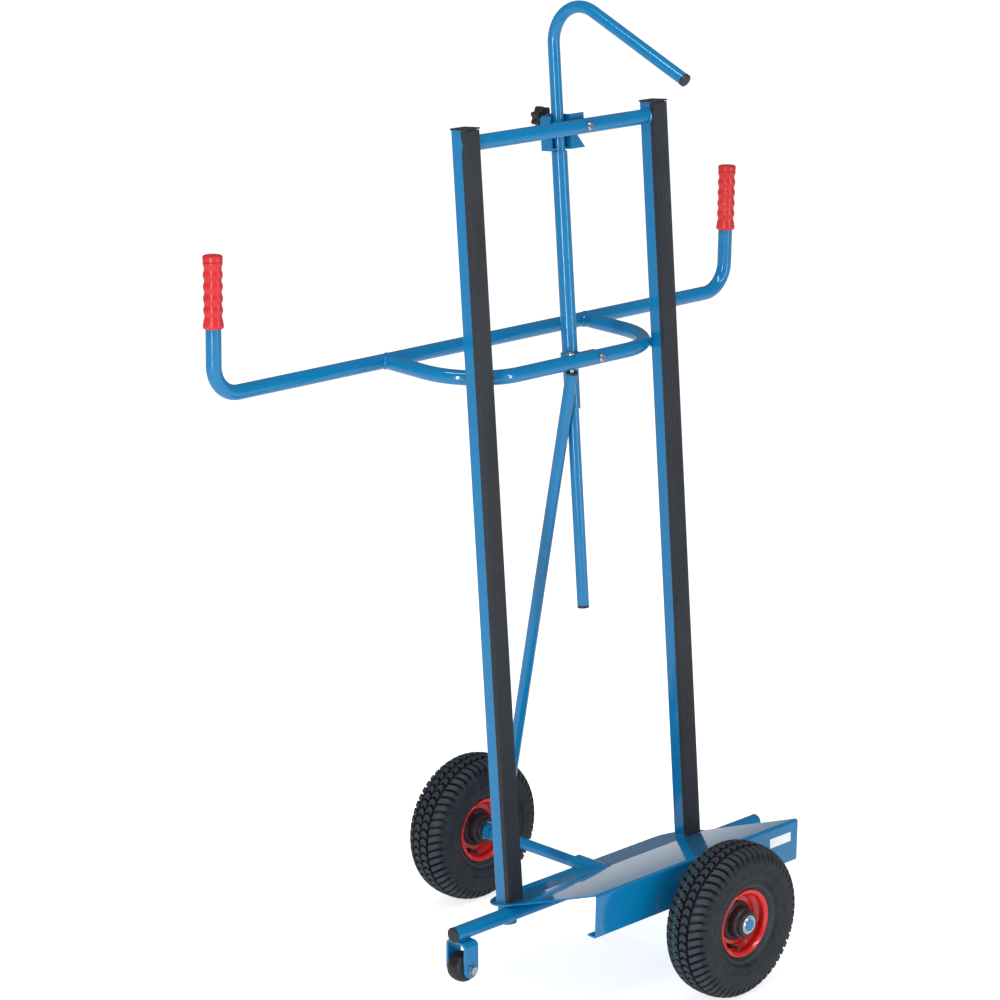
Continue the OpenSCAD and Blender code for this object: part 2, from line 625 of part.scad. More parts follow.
// Steel sleeve that the castor wheel turns on, clamped between the fork legs.
module castor_sleeve() color(zinc) at_castor() rotate([90, 0, 0])
  translate([0, 0, -castor_gap + touch]) difference() {
    cylinder(r = 6.05, h = 2 * castor_gap - 2 * touch);
    translate([0, 0, -1]) cylinder(r = 4.1, h = 2 * castor_gap + 2);
  }
module castor_bolt() color(zinc) at_castor() rotate([-90, 0, 0]) {
  reach = castor_gap + castor_fork_t;
  translate([0, 0, -reach - 1.4]) cylinder(d = 8, h = 2 * reach + 11);
  translate([0, 0, -reach - 1.6 + touch]) difference() {
    cylinder(r = 8, h = 1.5);
    translate([0, 0, -1]) cylinder(r = 3.9, h = 4);
  }
  translate([0, 0, -reach - 6.9]) cylinder(d = 13 / cos(30), h = 5.3, $fn = 6);
}
module castor_nut() color(zinc) at_castor() rotate([-90, 0, 0])
  translate([0, 0, castor_gap + castor_fork_t + touch]) hex_nut(8, 13, 7.5);

// ---- blank label on the flange ----
module label() color([0.95, 0.95, 0.95]) translate([shelf_l / 2 - 72, front_y + 0.4, front_z - 36])
  rotate([-1.1, 0, 0]) translate([0, -0.9, 0]) cube([53, 0.6, 16]);

shelf();
left_post();
right_post();
left_pad();
right_pad();
left_post_cap();
right_post_cap();
crossbar();
loop_tube();
handle_bar();
left_grip();
right_grip();
guide_tube();
guide_strap();
clamp_bracket();
clamp_nut();
clamp_screw();
clamp_knob();
crossbar_bolt();
crossbar_nut();
loop_bolt();
loop_nut();
brace_bolt();
brace_tube();
brace_cap();
hook_tube();
hook_end_cap();
hook_low_cap();
left_rail();
right_rail();
left_rail_cap();
right_rail_cap();
left_socket();
right_socket();
axle_sleeve();
axle();
axle_collars();
axle_rings();
front_tyre();
front_rim();
front_hub();
front_bearings();
front_valve();
back_tyre();
back_rim();
back_hub();
back_bearings();
back_valve();
castor_fork();
castor_wheel();
castor_sleeve();
castor_bolt();
castor_nut();
label();
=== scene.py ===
import json
import math
import bpy
import numpy as np
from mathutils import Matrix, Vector


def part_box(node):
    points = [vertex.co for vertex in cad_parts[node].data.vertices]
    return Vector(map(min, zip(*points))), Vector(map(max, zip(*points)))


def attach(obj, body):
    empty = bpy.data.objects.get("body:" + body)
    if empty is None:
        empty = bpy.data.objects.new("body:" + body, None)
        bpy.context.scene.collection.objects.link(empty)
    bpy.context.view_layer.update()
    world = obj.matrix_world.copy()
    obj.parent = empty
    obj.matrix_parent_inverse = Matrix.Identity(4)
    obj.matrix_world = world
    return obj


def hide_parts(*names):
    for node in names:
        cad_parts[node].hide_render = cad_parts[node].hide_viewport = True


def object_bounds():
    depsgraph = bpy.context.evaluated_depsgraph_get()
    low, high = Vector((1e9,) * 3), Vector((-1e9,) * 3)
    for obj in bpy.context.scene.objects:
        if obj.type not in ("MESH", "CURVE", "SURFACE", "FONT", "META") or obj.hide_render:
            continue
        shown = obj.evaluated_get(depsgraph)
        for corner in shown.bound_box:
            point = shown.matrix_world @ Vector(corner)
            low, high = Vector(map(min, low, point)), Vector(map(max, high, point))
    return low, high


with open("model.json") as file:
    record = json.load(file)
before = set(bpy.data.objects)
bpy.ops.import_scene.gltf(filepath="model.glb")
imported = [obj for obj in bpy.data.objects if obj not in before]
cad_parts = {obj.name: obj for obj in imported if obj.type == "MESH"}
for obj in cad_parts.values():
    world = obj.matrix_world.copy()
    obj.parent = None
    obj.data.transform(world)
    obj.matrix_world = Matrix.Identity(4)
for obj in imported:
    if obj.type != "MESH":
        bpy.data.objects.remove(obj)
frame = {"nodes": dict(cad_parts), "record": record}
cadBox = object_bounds()
print("frame loaded:", len(frame["nodes"]), "nodes")


def makePiece(name, verts, faces, body, slot, stands=(), sharp=35):
    # One mesh object at the origin: smooth faces, sharp edges over the given angle, faces turned outward.
    mesh = bpy.data.meshes.new(name)
    mesh.from_pydata(verts.tolist(), [], faces.tolist() if hasattr(faces, "tolist") else faces)
    mesh.validate()
    mesh.polygons.foreach_set("use_smooth", np.ones(len(mesh.polygons), dtype=bool))
    mesh.update()
    if signedVolume(mesh) < 0:
        mesh.flip_normals()
    mesh.set_sharp_from_angle(angle=math.radians(sharp))
    piece = bpy.data.objects.new(name, mesh)
    bpy.context.scene.collection.objects.link(piece)
    mesh.materials.append(materials[slot])
    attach(piece, body)
    if stands:
        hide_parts(*stands)
    return piece


def signedVolume(mesh):
    # Sum of the signed volumes of the tetrahedra from the origin to each face's triangles.
    mesh.calc_loop_triangles()
    tris = np.empty(len(mesh.loop_triangles) * 3, dtype=np.int32)
    mesh.loop_triangles.foreach_get("vertices", tris)
    points = np.empty(len(mesh.vertices) * 3)
    mesh.vertices.foreach_get("co", points)
    a, b, c = points.reshape(-1, 3)[tris.reshape(-1, 3)].transpose(1, 0, 2)
    return float(np.einsum("ij,ij->i", a, np.cross(b, c)).sum())


def gridFaces(rows, cols, wrapRows=False, wrapCols=False):
    # Quads joining each grid point to its neighbours, going round where a direction wraps.
    i = np.arange(rows if wrapRows else rows - 1)[:, None]
    j = np.arange(cols if wrapCols else cols - 1)[None, :]
    iNext, jNext = (i + 1) % rows, (j + 1) % cols
    quads = np.stack([i * cols + j, iNext * cols + j, iNext * cols + jNext, i * cols + jNext], axis=-1)
    return quads.reshape(-1, 4)


def joinParts(parts):
    # Puts several (verts, faces) pairs in one list, each with its face numbers moved on.
    verts, faces, start = [], [], 0
    for v, f in parts:
        verts.append(v)
        faces += [[corner + start for corner in face] for face in f]
        start += len(v)
    return np.vstack(verts), faces


def filletLine(corners, radius, steps=6):
    # A polyline whose inner corners are arcs: each arc touches both sides at radius * tan(half the turn).
    corners = [np.array(c, dtype=float) for c in corners]
    line = [corners[0]]
    for before, corner, after in zip(corners, corners[1:], corners[2:]):
        inDir = (corner - before) / np.linalg.norm(corner - before)
        outDir = (after - corner) / np.linalg.norm(after - corner)
        turn = math.acos(np.clip(inDir @ outDir, -1, 1))
        if turn < 0.02:
            line.append(corner)
            continue
        reach = radius * math.tan(turn / 2)
        t = np.linspace(0, 1, steps + 1)[:, None]
        start, end = corner - inDir * reach, corner + outDir * reach
        inward = (start + end) / 2 - corner
        centre = corner + inward * ((reach ** 2 + radius ** 2) / (inward @ inward)) ** 0.5
        line.extend(centre + (start - centre) * np.cos(turn * t) + inDir * radius * np.sin(turn * t))
    line.append(corners[-1])
    return np.array(line)


def lineNormals(line):
    # Left-hand normals of a 2D polyline, averaged at its points and stretched to keep the wall even.
    step = np.diff(line, axis=0)
    step /= np.linalg.norm(step, axis=1)[:, None]
    left = np.stack([-step[:, 1], step[:, 0]], axis=1)
    before, after = np.vstack([left[:1], left]), np.vstack([left, left[-1:]])
    return (before + after) / (1 + (before * after).sum(axis=1))[:, None]


def lathe(profile, count=96):
    # Turns a closed (radius, y) outline round the Y axis.
    angle = np.linspace(0, 2 * math.pi, count, endpoint=False)[:, None]
    radius, along = profile[:, 0][None, :], profile[:, 1][None, :]
    points = np.stack([radius * np.cos(angle), along + 0 * angle, radius * np.sin(angle)], axis=-1)
    return points.reshape(-1, 3), gridFaces(count, len(profile), True, True)


def boxMiddle(name):
    lo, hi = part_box(name)
    return np.array([(lo[i] + hi[i]) / 2 for i in range(3)])


def newMaterial(name, colour, roughness, metallic=0.0, coat=0.0, coatRoughness=0.1, specular=0.5):
    material = bpy.data.materials.new(name)
    material.use_nodes = True
    shader = material.node_tree.nodes["Principled BSDF"]
    shader.inputs["Base Color"].default_value = (*colour, 1)
    shader.inputs["Roughness"].default_value = roughness
    shader.inputs["Metallic"].default_value = metallic
    shader.inputs["Coat Weight"].default_value = coat
    shader.inputs["Coat Roughness"].default_value = coatRoughness
    shader.inputs["Specular IOR Level"].default_value = specular
    return material, material.node_tree, shader


def addNoise(tree, scale, detail=3, stretch=(1, 1, 1), kind="ShaderNodeTexNoise"):
    # A noise on Object coordinates, scaled per axis by a Mapping node.
    place = tree.nodes.new("ShaderNodeTexCoord")
    mapping = tree.nodes.new("ShaderNodeMapping")
    mapping.inputs["Scale"].default_value = stretch
    noise = tree.nodes.new(kind)
    noise.inputs["Scale"].default_value = scale
    if "Detail" in noise.inputs:
        noise.inputs["Detail"].default_value = detail
    tree.links.new(place.outputs["Object"], mapping.inputs["Vector"])
    tree.links.new(mapping.outputs["Vector"], noise.inputs["Vector"])
    return noise.outputs["Fac" if "Fac" in noise.outputs else "Distance"]


def mapRange(tree, value, low, high, fromLow=0.3, fromHigh=0.7):
    node = tree.nodes.new("ShaderNodeMapRange")
    node.inputs["From Min"].default_value = fromLow
    node.inputs["From Max"].default_value = fromHigh
    node.inputs["To Min"].default_value = low
    node.inputs["To Max"].default_value = high
    tree.links.new(value, node.inputs["Value"])
    return node.outputs["Result"]


def mixColour(tree, factor, first, second):
    node = tree.nodes.new("ShaderNodeMix")
    node.data_type = "RGBA"
    for socket, colour in ((node.inputs[6], first), (node.inputs[7], second)):
        if isinstance(colour, tuple):
            socket.default_value = (*colour, 1)
        else:
            tree.links.new(colour, socket)
    tree.links.new(factor, node.inputs[0])
    return node.outputs[2]


def cloudColour(tree, shader, noise, first, second):
    # Base colour goes from the first to the second as the noise goes from 0.3 to 0.7.
    tree.links.new(mixColour(tree, mapRange(tree, noise, 0, 1), first, second), shader.inputs["Base Color"])


def unevenGloss(tree, shader, noise, low, high):
    # Roughness goes from low to high as the noise goes from 0.3 to 0.7.
    tree.links.new(mapRange(tree, noise, low, high), shader.inputs["Roughness"])


def addBump(tree, shader, height, strength, distance):
    bump = tree.nodes.new("ShaderNodeBump")
    bump.inputs["Strength"].default_value = strength
    bump.inputs["Distance"].default_value = distance
    tree.links.new(height, bump.inputs["Height"])
    if shader.inputs["Normal"].is_linked:
        tree.links.new(shader.inputs["Normal"].links[0].from_socket, bump.inputs["Normal"])
    tree.links.new(bump.outputs["Normal"], shader.inputs["Normal"])


paint = dict(blue=(0.0008, 0.168, 0.385), deep=(0.0006, 0.160, 0.370), peel=520, peelDepth=0.00004,
             coat=0.8)


def bluePaint():
    # Glossy powder coat: orange-peel bump about 1.6 mm across, faint clouds in the colour and the gloss.
    material, tree, shader = newMaterial("bluePaint", paint["blue"], 0.16, coat=paint["coat"],
                                         coatRoughness=0.03, specular=0.3)
    cloud = addNoise(tree, 9, 4)
    cloudColour(tree, shader, cloud, paint["blue"], paint["deep"])
    unevenGloss(tree, shader, addNoise(tree, 60, 3), 0.15, 0.19)
    addBump(tree, shader, addNoise(tree, paint["peel"], 2), 0.06, paint["peelDepth"])
    return material


def redPaint():
    # Red gloss coat of the rims: clouds in the colour, uneven gloss and a fine peel.
    material, tree, shader = newMaterial("redPaint", (0.62, 0.012, 0.012), 0.2, coat=0.5, coatRoughness=0.06)
    cloud = addNoise(tree, 30, 4)
    cloudColour(tree, shader, cloud, (0.66, 0.014, 0.012), (0.52, 0.010, 0.012))
    unevenGloss(tree, shader, addNoise(tree, 90, 3), 0.14, 0.26)
    addBump(tree, shader, addNoise(tree, 800, 2), 0.12, 0.0001)
    return material


def redVinyl():
    # Soft dipped vinyl: waxy gloss, fine grain, colour a little uneven.
    material, tree, shader = newMaterial("redVinyl", (0.60, 0.018, 0.020), 0.35, coat=0.15, coatRoughness=0.15)
    shader.inputs["Subsurface Weight"].default_value = 0.03
    shader.inputs["Subsurface Radius"].default_value = (0.004, 0.001, 0.0006)
    cloud = addNoise(tree, 45, 3)
    cloudColour(tree, shader, cloud, (0.62, 0.019, 0.020), (0.54, 0.014, 0.018))
    unevenGloss(tree, shader, addNoise(tree, 160, 3), 0.28, 0.42)
    addBump(tree, shader, addNoise(tree, 1400, 2), 0.15, 0.0001)
    return material


def padRubber():
    # Extruded rubber: fine lines along the strip, satin, with a grey bloom.
    material, tree, shader = newMaterial("padRubber", (0.022, 0.026, 0.034), 0.5, specular=0.3)
    lines = addNoise(tree, 900, 2, (1, 1, 0.01))
    bloom = addNoise(tree, 14, 4, (1, 1, 0.25))
    cloudColour(tree, shader, bloom, (0.019, 0.023, 0.030), (0.032, 0.037, 0.046))
    unevenGloss(tree, shader, lines, 0.42, 0.6)
    addBump(tree, shader, lines, 0.35, 0.0003)
    return material


def blackPlastic():
    # Injection-moulded polyamide: fine spark-eroded grain and soft gloss.
    material, tree, shader = newMaterial("blackPlastic", (0.018, 0.018, 0.021), 0.4)
    cloudColour(tree, shader, addNoise(tree, 40, 3), (0.015, 0.015, 0.018), (0.026, 0.026, 0.030))
    unevenGloss(tree, shader, addNoise(tree, 220, 3), 0.32, 0.46)
    addBump(tree, shader, addNoise(tree, 2600, 2), 0.25, 0.0001)
    return material


def castorBlack():
    # Hard rubber of the small wheel, with fine turning lines round its axle.
    material, tree, shader = newMaterial("castorBlack", (0.012, 0.013, 0.018), 0.34, specular=0.4)
    lines = addNoise(tree, 700, 2, (0.02, 1, 0.02))
    cloudColour(tree, shader, addNoise(tree, 60, 4), (0.010, 0.011, 0.016), (0.020, 0.022, 0.028))
    unevenGloss(tree, shader, lines, 0.3, 0.48)
    addBump(tree, shader, lines, 0.2, 0.0002)
    return material


def zincPlate():
    # Bright zinc plating: small spangle cells and brushed gloss.
    material, tree, shader = newMaterial("zincPlate", (0.74, 0.75, 0.78), 0.28, metallic=1.0)
    cells = addNoise(tree, 420, kind="ShaderNodeTexVoronoi")
    spangle = mixColour(tree, mapRange(tree, cells, 0, 1, 0, 0.6), (0.80, 0.81, 0.84), (0.62, 0.64, 0.68))
    tree.links.new(spangle, shader.inputs["Base Color"])
    unevenGloss(tree, shader, addNoise(tree, 300, 4), 0.2, 0.38)
    addBump(tree, shader, addNoise(tree, 900, 3), 0.12, 0.0001)
    return material


def labelFilm():
    # White vinyl film, its white and its gloss a little uneven.
    material, tree, shader = newMaterial("labelFilm", (0.86, 0.87, 0.88), 0.25, coat=0.3)
    cloudColour(tree, shader, addNoise(tree, 120, 4), (0.88, 0.89, 0.90), (0.80, 0.81, 0.82))
    unevenGloss(tree, shader, addNoise(tree, 400, 3), 0.2, 0.34)
    return material


def tyreRubber():
    # Tyre compound: every colour carries a painted bluish reflection, block tops lighter and bluer (a point
    # attribute; partly wear, partly painted reflection), and a thin coloured line in one groove.
    material, tree, shader = newMaterial("tyreRubber", (0.014, 0.018, 0.026), 0.5, specular=0.3)
    wear_and_painted_reflection = tree.nodes.new("ShaderNodeAttribute")
    wear_and_painted_reflection.attribute_name = "wear_and_painted_reflection"
    stripe = tree.nodes.new("ShaderNodeAttribute")
    stripe.attribute_name = "stripe"
    dust = addNoise(tree, 75, 5)
    # Both base colours hold a painted bluish reflection; the lighter, bluer top colour is partly wear and
    # partly painted reflection.
    base = mixColour(tree, mapRange(tree, dust, 0, 1), (0.010, 0.013, 0.020), (0.020, 0.025, 0.034))
    wornAndPaintedReflection = mixColour(tree, mapRange(tree, wear_and_painted_reflection.outputs["Fac"], 0, 1, 0, 1), base, (0.038, 0.047, 0.062))
    lined = mixColour(tree, stripe.outputs["Fac"], wornAndPaintedReflection, (0.05, 0.30, 0.34))
    tree.links.new(lined, shader.inputs["Base Color"])
    unevenGloss(tree, shader, addNoise(tree, 260, 4), 0.42, 0.62)
    addBump(tree, shader, addNoise(tree, 1500, 3), 0.3, 0.00015)
    return material


def floorPaper():
    # Pale seamless studio floor with a barely visible tooth. It glows a little, but not in reflections.
    material, tree, shader = newMaterial("floorPaper", (0.86, 0.86, 0.86), 0.75, specular=0.2)
    cloudColour(tree, shader, addNoise(tree, 3, 4), (0.87, 0.87, 0.87), (0.85, 0.85, 0.855))
    addBump(tree, shader, addNoise(tree, 400, 2), 0.05, 0.0002)
    shader.inputs["Emission Color"].default_value = (1, 1, 1, 1)
    rays = tree.nodes.new("ShaderNodeLightPath")
    glow = mapRange(tree, rays.outputs["Is Glossy Ray"], stage["floorGlow"], 0, 0, 1)
    tree.links.new(glow, shader.inputs["Emission Strength"])
    return material


materials = dict(blue_paint=bluePaint(), pad_rubber=padRubber(), black_plastic=blackPlastic(),
                 red_grip=redVinyl(), red_rim=redPaint(), zinc=zincPlate(), tyre_rubber=tyreRubber(),
                 castor_black=castorBlack(), label_white=labelFilm())
for part in frame["record"]["subparts"]:
    node = frame["nodes"][part["node"]]
    for holder in node.material_slots:
        holder.material = materials[part["material_slot"]]
print("materials made and given to the frame's nodes")

# The strength of the lighter, bluer block tops and the depth it fades over are partly wear, partly painted
# reflection.
tyre = dict(radius=0.130, width=0.086, seat=0.054, blocks=56, grooveDepth=0.0062, centreRow=0.0172,
            shoulder=0.0345, edge=0.0010, chevron=0.40, ringHeight=0.0008, wornAndPaintedReflection=0.7, wearAndReflectionOver=0.0006,
            square=0.82, flat=0.72)


def tyreSection(angle):
    # Flattened oval: radius goes with cos(angle)^square, width with sin(angle)^flat, as a blown-up tyre does.
    middle, half = (tyre["radius"] + tyre["seat"]) / 2, (tyre["radius"] - tyre["seat"]) / 2
    radius = middle + half * np.sign(np.cos(angle)) * np.abs(np.cos(angle)) ** tyre["square"]
    return radius, tyre["width"] / 2 * np.sign(angle) * np.abs(np.sin(angle)) ** tyre["flat"]


def mirrored(values, sign=1):
    # The values of one half of a section, from its far end through the middle line to the other far end.
    values = np.asarray(values, dtype=float)
    return np.concatenate([sign * values[:0:-1], values])


def treadTyre(name, centre, body, stands, striped):
    # A tyre as one closed grid. Lines round the wheel crowd at the cross grooves, and lines across it crowd
    # at the grooves between rows. Depth = groove depth times the larger of the cross groove and the row
    # groove; the cross lines are shifted by a V in each row, which gives the chevrons.
    g, s, e = tyre["centreRow"], tyre["shoulder"], tyre["edge"]
    rowLines = [0.0, e, 2 * e, 2.8 * e, 0.0055, 0.0086, 0.0117, g - 3 * e, g - 2.2 * e, g - 1.2 * e,
                g + 1.2 * e, g + 2.2 * e, g + 3 * e, 0.024, 0.028, 0.0315, s]
    level = [1, 1, 0.1, 0, 0, 0, 0, 0, 0.1, 1, 1, 0.1, 0, 0, 0, 0, 0]
    wall = np.array([54, 57, 60, 63, 66, 70, 74, 78, 82, 86, 90, 93, 94.5, 97.5, 99, 104, 110, 114, 115.5, 118,
                     119.5, 124, 128, 130, 133, 137, 140])
    wallRing = np.isin(wall, [94.5, 97.5, 115.5, 118, 130, 133, 137])
    fade = np.clip((72 - wall) / 17, 0, 1) ** 0.8
    rowAngle = np.arcsin((np.array(rowLines) / (tyre["width"] / 2)) ** (1 / tyre["flat"]))
    half = np.concatenate([rowAngle, np.radians(wall)])
    beadR, beadY = np.array([0.0592, 0.0560, 0.0522, 0.0522]), np.array([0.0290, 0.0268, 0.0262, 0.012])
    extra = np.zeros(len(beadR))
    sectionR, sectionY = tyreSection(half)
    radius = mirrored(np.concatenate([sectionR, beadR]))
    across = mirrored(np.concatenate([sectionY, beadY]), -1)
    level = mirrored(np.concatenate([level, 0 * wall, extra]))
    share = mirrored(np.concatenate([np.ones(len(rowLines)), fade, extra]))
    ring = mirrored(np.concatenate([np.zeros(len(rowLines)), wallRing, extra]))
    size = np.minimum(np.abs(across), s)
    inner = np.abs(across) < g
    outerV = 1 - 1.5 * (np.maximum(size - g, 0) / (s - g)) ** 0.7
    vShape = np.where(inner, np.abs(size - g / 2) / (g / 2), outerV)
    shift = tyre["chevron"] * vShape + np.where(inner, 0.5, 0.0) + np.where(across < 0, 0.5, 0.0)
    pitch = np.array([0.0, 0.11, 0.165, 0.195, 0.32, 0.5, 0.68, 0.805, 0.835, 0.89])
    cross = np.array([1.0, 1.0, 0.12, 0, 0, 0, 0, 0, 0.12, 1.0])
    around = (np.arange(tyre["blocks"])[:, None] + pitch[None, :]).reshape(-1)
    turn = 2 * math.pi * (around[:, None] + shift[None, :]) / tyre["blocks"]
    cross = np.tile(cross, tyre["blocks"])[:, None]
    depth = tyre["grooveDepth"] * np.maximum(cross * share[None, :], level[None, :])
    lineR, lineY = np.gradient(radius), np.gradient(across)
    length = np.hypot(lineR, lineY)
    push = tyre["ringHeight"] * (ring[None, :] - (np.abs(across) > s)[None, :]) - depth
    r = radius[None, :] + lineY / length * push
    y = across[None, :] - lineR / length * push
    points = np.stack([centre[0] + r * np.cos(turn), centre[1] + y, centre[2] + r * np.sin(turn)], axis=-1)
    rows, cols = r.shape
    faces = gridFaces(rows, cols, True, True)
    piece = makePiece(name, points.reshape(-1, 3), faces, body, "tyre_rubber", stands, 38)
    # Mask of the block tops, which get the lighter, bluer colour: partly wear, partly painted reflection.
    top = np.clip(1 - depth / tyre["wearAndReflectionOver"], 0, 1) * (np.abs(across) < s * 1.04) * tyre["wornAndPaintedReflection"]
    addAttribute(piece, "wear_and_painted_reflection", top.reshape(-1))
    line = (np.abs(across - g) < 1.5 * e)[None, :] * np.ones((rows, 1)) * float(striped)
    addAttribute(piece, "stripe", line.reshape(-1))


def addAttribute(piece, name, values):
    layer = piece.data.attributes.new(name, "FLOAT", "POINT")
    layer.data.foreach_set("value", values.astype(np.float32))


treadTyre("front_tread", boxMiddle("front_tyre"), "front_wheel", ["front_tyre"], True)
treadTyre("back_tread", boxMiddle("back_tyre"), "back_wheel", ["back_tyre"], False)
print("tyres made")

rim = dict(sheet=0.0024, bend=0.0028, rollMajor=0.0554, rollMinor=0.0021, rollY=0.0289, webHole=0.0336,
           webHalf=0.0100, webRadius=0.0425)
hub = dict(bore=0.0155, boss=0.0205, half=0.037, step=0.0265, flange=0.0335)


def sheetLathe(corners, sheet, bend):
    # A pressed sheet turned round the axle: the filleted middle line moved half the sheet to each side.
    line = filletLine(corners, bend)
    wall = lineNormals(line) * sheet / 2
    return lathe(np.vstack([line + wall, (line - wall)[::-1]]), 120)


def tubeRing(major, minor, along, count=120, sides=16):
    # A torus round the Y axis.
    angle = np.linspace(0, 2 * math.pi, sides, endpoint=False)
    return lathe(np.stack([major + minor * np.cos(angle), along + minor * np.sin(angle)], axis=1), count)


def makeRim(name, centre, body, stands):
    half = [(0.0555, 0.0296), (0.0532, 0.0286), (0.0502, 0.0272), (0.0502, 0.0175), (0.0424, 0.0112)]
    corners = half + [(r, -y) for r, y in half[::-1]]
    web = [(rim["webHole"], rim["webHalf"]), (rim["webHole"], -rim["webHalf"]),
           (rim["webRadius"], -rim["webHalf"]), (rim["webRadius"], rim["webHalf"])]
    parts = [sheetLathe(corners, rim["sheet"], rim["bend"]), lathe(np.array(web), 120)]
    for side in (-1, 1):
        parts.append(tubeRing(rim["rollMajor"], rim["rollMinor"], side * rim["rollY"]))
    verts, faces = joinParts(parts)
    makePiece(name, verts + centre, faces, body, "red_rim", stands, 40)


def makeHub(name, centre, body, stands):
    half = [(hub["bore"], hub["half"]), (hub["boss"], hub["half"]), (hub["boss"] + 0.0008, 0.0290),
            (hub["step"] - 0.0012, 0.0275), (hub["step"], 0.0150), (hub["flange"], 0.0128),
            (hub["flange"], 0.0)]
    outline = filletLine(half, 0.0012, 4)
    outline = np.vstack([outline[:-1], (outline * [1, -1])[::-1]])
    verts, faces = lathe(outline, 96)
    makePiece(name, verts + centre, faces, body, "black_plastic", stands, 40)


for side in ("front", "back"):
    makeRim(side + "_wheel_rim", boxMiddle(side + "_tyre"), side + "_wheel", [side + "_rim"])
    makeHub(side + "_wheel_hub", boxMiddle(side + "_tyre"), side + "_wheel", [side + "_hub"])
print("rims and hubs made")

grip = dict(waves=5, swell=0.0013, collar=0.0065, flutes=8, fluteDepth=0.00025, sides=72)


def makeGrip(side):
    # Turned outline: a collar, waves by cosine, a ring groove under the closed top. The radius also goes a
    # little in and out with the angle, which gives the grip shallow flutes.
    lo, hi = (np.array(corner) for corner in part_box(side + "_grip"))
    radius, length = (hi[0] - lo[0]) / 2, hi[2] - lo[2]
    t = np.linspace(0, 1, 61)
    bodyStart, bodyEnd = grip["collar"] + 0.003, length - 0.012
    inset = grip["swell"] * (1 - np.cos(2 * math.pi * grip["waves"] * t)) / 2
    wave = np.stack([radius - 0.0007 - inset * 1.5, bodyStart + (bodyEnd - bodyStart) * t], axis=1)
    foot = [(0.0128, 0), (radius - 0.0009, 0), (radius, 0.0009), (radius, grip["collar"]),
            (radius - 0.0006, grip["collar"] + 0.0012)]
    head = [(radius - 0.0008, length - 0.0105), (radius - 0.002, length - 0.0098),
            (radius - 0.002, length - 0.0088), (radius - 0.0007, length - 0.0080),
            (radius - 0.0007, length - 0.0018), (radius - 0.0013, length - 0.0006), (radius - 0.0024, length),
            (radius - 0.006, length), (0.004, length - 0.0002), (0.00001, length - 0.0002)]
    outline = np.vstack([foot, wave, head])
    count = grip["sides"]
    angle = np.linspace(0, 2 * math.pi, count, endpoint=False)[:, None]
    inBody = ((outline[:, 1] > bodyStart) & (outline[:, 1] < bodyEnd)).astype(float)
    around = outline[:, 0] - grip["fluteDepth"] * inBody * (1 - np.cos(grip["flutes"] * angle)) / 2
    tilt = (hi[1] - lo[1] - 2 * radius) / length
    x, yy, z = around * np.cos(angle), around * np.sin(angle), outline[:, 1] + 0 * angle
    leaning = lo[1] + radius + tilt * (length - z)
    points = np.stack([(lo[0] + hi[0]) / 2 + x, leaning + yy, lo[2] + z], axis=-1)
    faces = gridFaces(count, len(outline), True, False).tolist()
    faces.append([i * len(outline) for i in range(count)])
    makePiece(side + "_finger_grip", points.reshape(-1, 3), faces, "body", "red_grip", [side + "_grip"], 50)


makeGrip("left")
makeGrip("right")
print("grips made")

shelf = dict(sheet=0.003, bend=0.0045, panelSlope=20.4, stripSlope=13.7, flangeHeight=0.0765, lip=0.019,
             ear=0.060, softEdge=0.0006)


def shelfCorners():
    # Outer line of the folded sheet in (y, z): back edge, crease, front fold, foot of the flange, lip.
    lo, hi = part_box("shelf")
    back = math.radians(shelf["stripSlope"])
    front = math.radians(shelf["panelSlope"])
    creaseY = railMiddle[1] + crease["overRail"]
    creaseZ = hi[2] - (creaseY - lo[1]) * math.tan(front)
    frontY, frontZ = lo[1], hi[2]
    backY = hi[1]
    corners = [(backY, creaseZ - (backY - creaseY) * math.tan(back)), (creaseY, creaseZ), (frontY, frontZ),
               (frontY + 0.0015, frontZ - shelf["flangeHeight"]),
               (frontY + 0.0015 + shelf["lip"], frontZ - shelf["flangeHeight"] + 0.001)]
    return np.array(corners), creaseY, creaseZ


railMiddle = boxMiddle("left_rail")
crease = dict(overRail=0.0065)
shelfLine, creaseY, creaseZ = shelfCorners()


def makeShelf():
    # The folded sheet: the outer line with rounded bends, offset by the sheet, drawn out along X. Each
    # station is scaled so that the back corners are arcs of the ear radius.
    lo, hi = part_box("shelf")
    outer = filletLine(shelfLine, shelf["bend"], 6)
    # More stations near the back edge, where the corners are round.
    depth = np.linspace(0, 1, 15)[:-1, None] ** 2
    strip = outer[0] + (outer[1] - outer[0]) * depth
    outer = np.vstack([strip, outer[1:]])
    inner = outer + lineNormals(outer) * shelf["sheet"]
    half = (hi[0] - lo[0]) / 2

    def halfLength(line):
        cut = np.clip(shelf["ear"] - (shelfLine[0][0] - line[:, 0]), 0, shelf["ear"])
        cut = np.where(line[:, 0] > creaseY - 0.02, cut, 0)
        return half - shelf["ear"] + np.sqrt(shelf["ear"] ** 2 - cut ** 2)

    across = np.linspace(-1, 1, 41)[:, None]
    rings = []
    for line in (outer, inner[::-1]):
        x = across * halfLength(line)[None, :]
        rings.append(np.stack([x, line[:, 0] + 0 * x, line[:, 1] + 0 * x], axis=-1))
    points = np.concatenate(rings, axis=1)
    rows, cols = points.shape[:2]
    faces = gridFaces(rows, cols, False, True).tolist()
    n = len(outer)
    for row, flip in ((0, 1), (rows - 1, -1)):
        for j in range(n - 1):
            quad = [j, j + 1, cols - 2 - j, cols - 1 - j]
            faces.append([row * cols + corner for corner in quad[::flip]])
    piece = makePiece("folded_shelf", points.reshape(-1, 3), faces, "body", "blue_paint", ["shelf"], 30)
    bevel = piece.modifiers.new("softEdges", "BEVEL")
    bevel.width, bevel.segments = shelf["softEdge"], 2
    bevel.limit_method, bevel.angle_limit = "ANGLE", math.radians(50)


makeShelf()
print("shelf made")

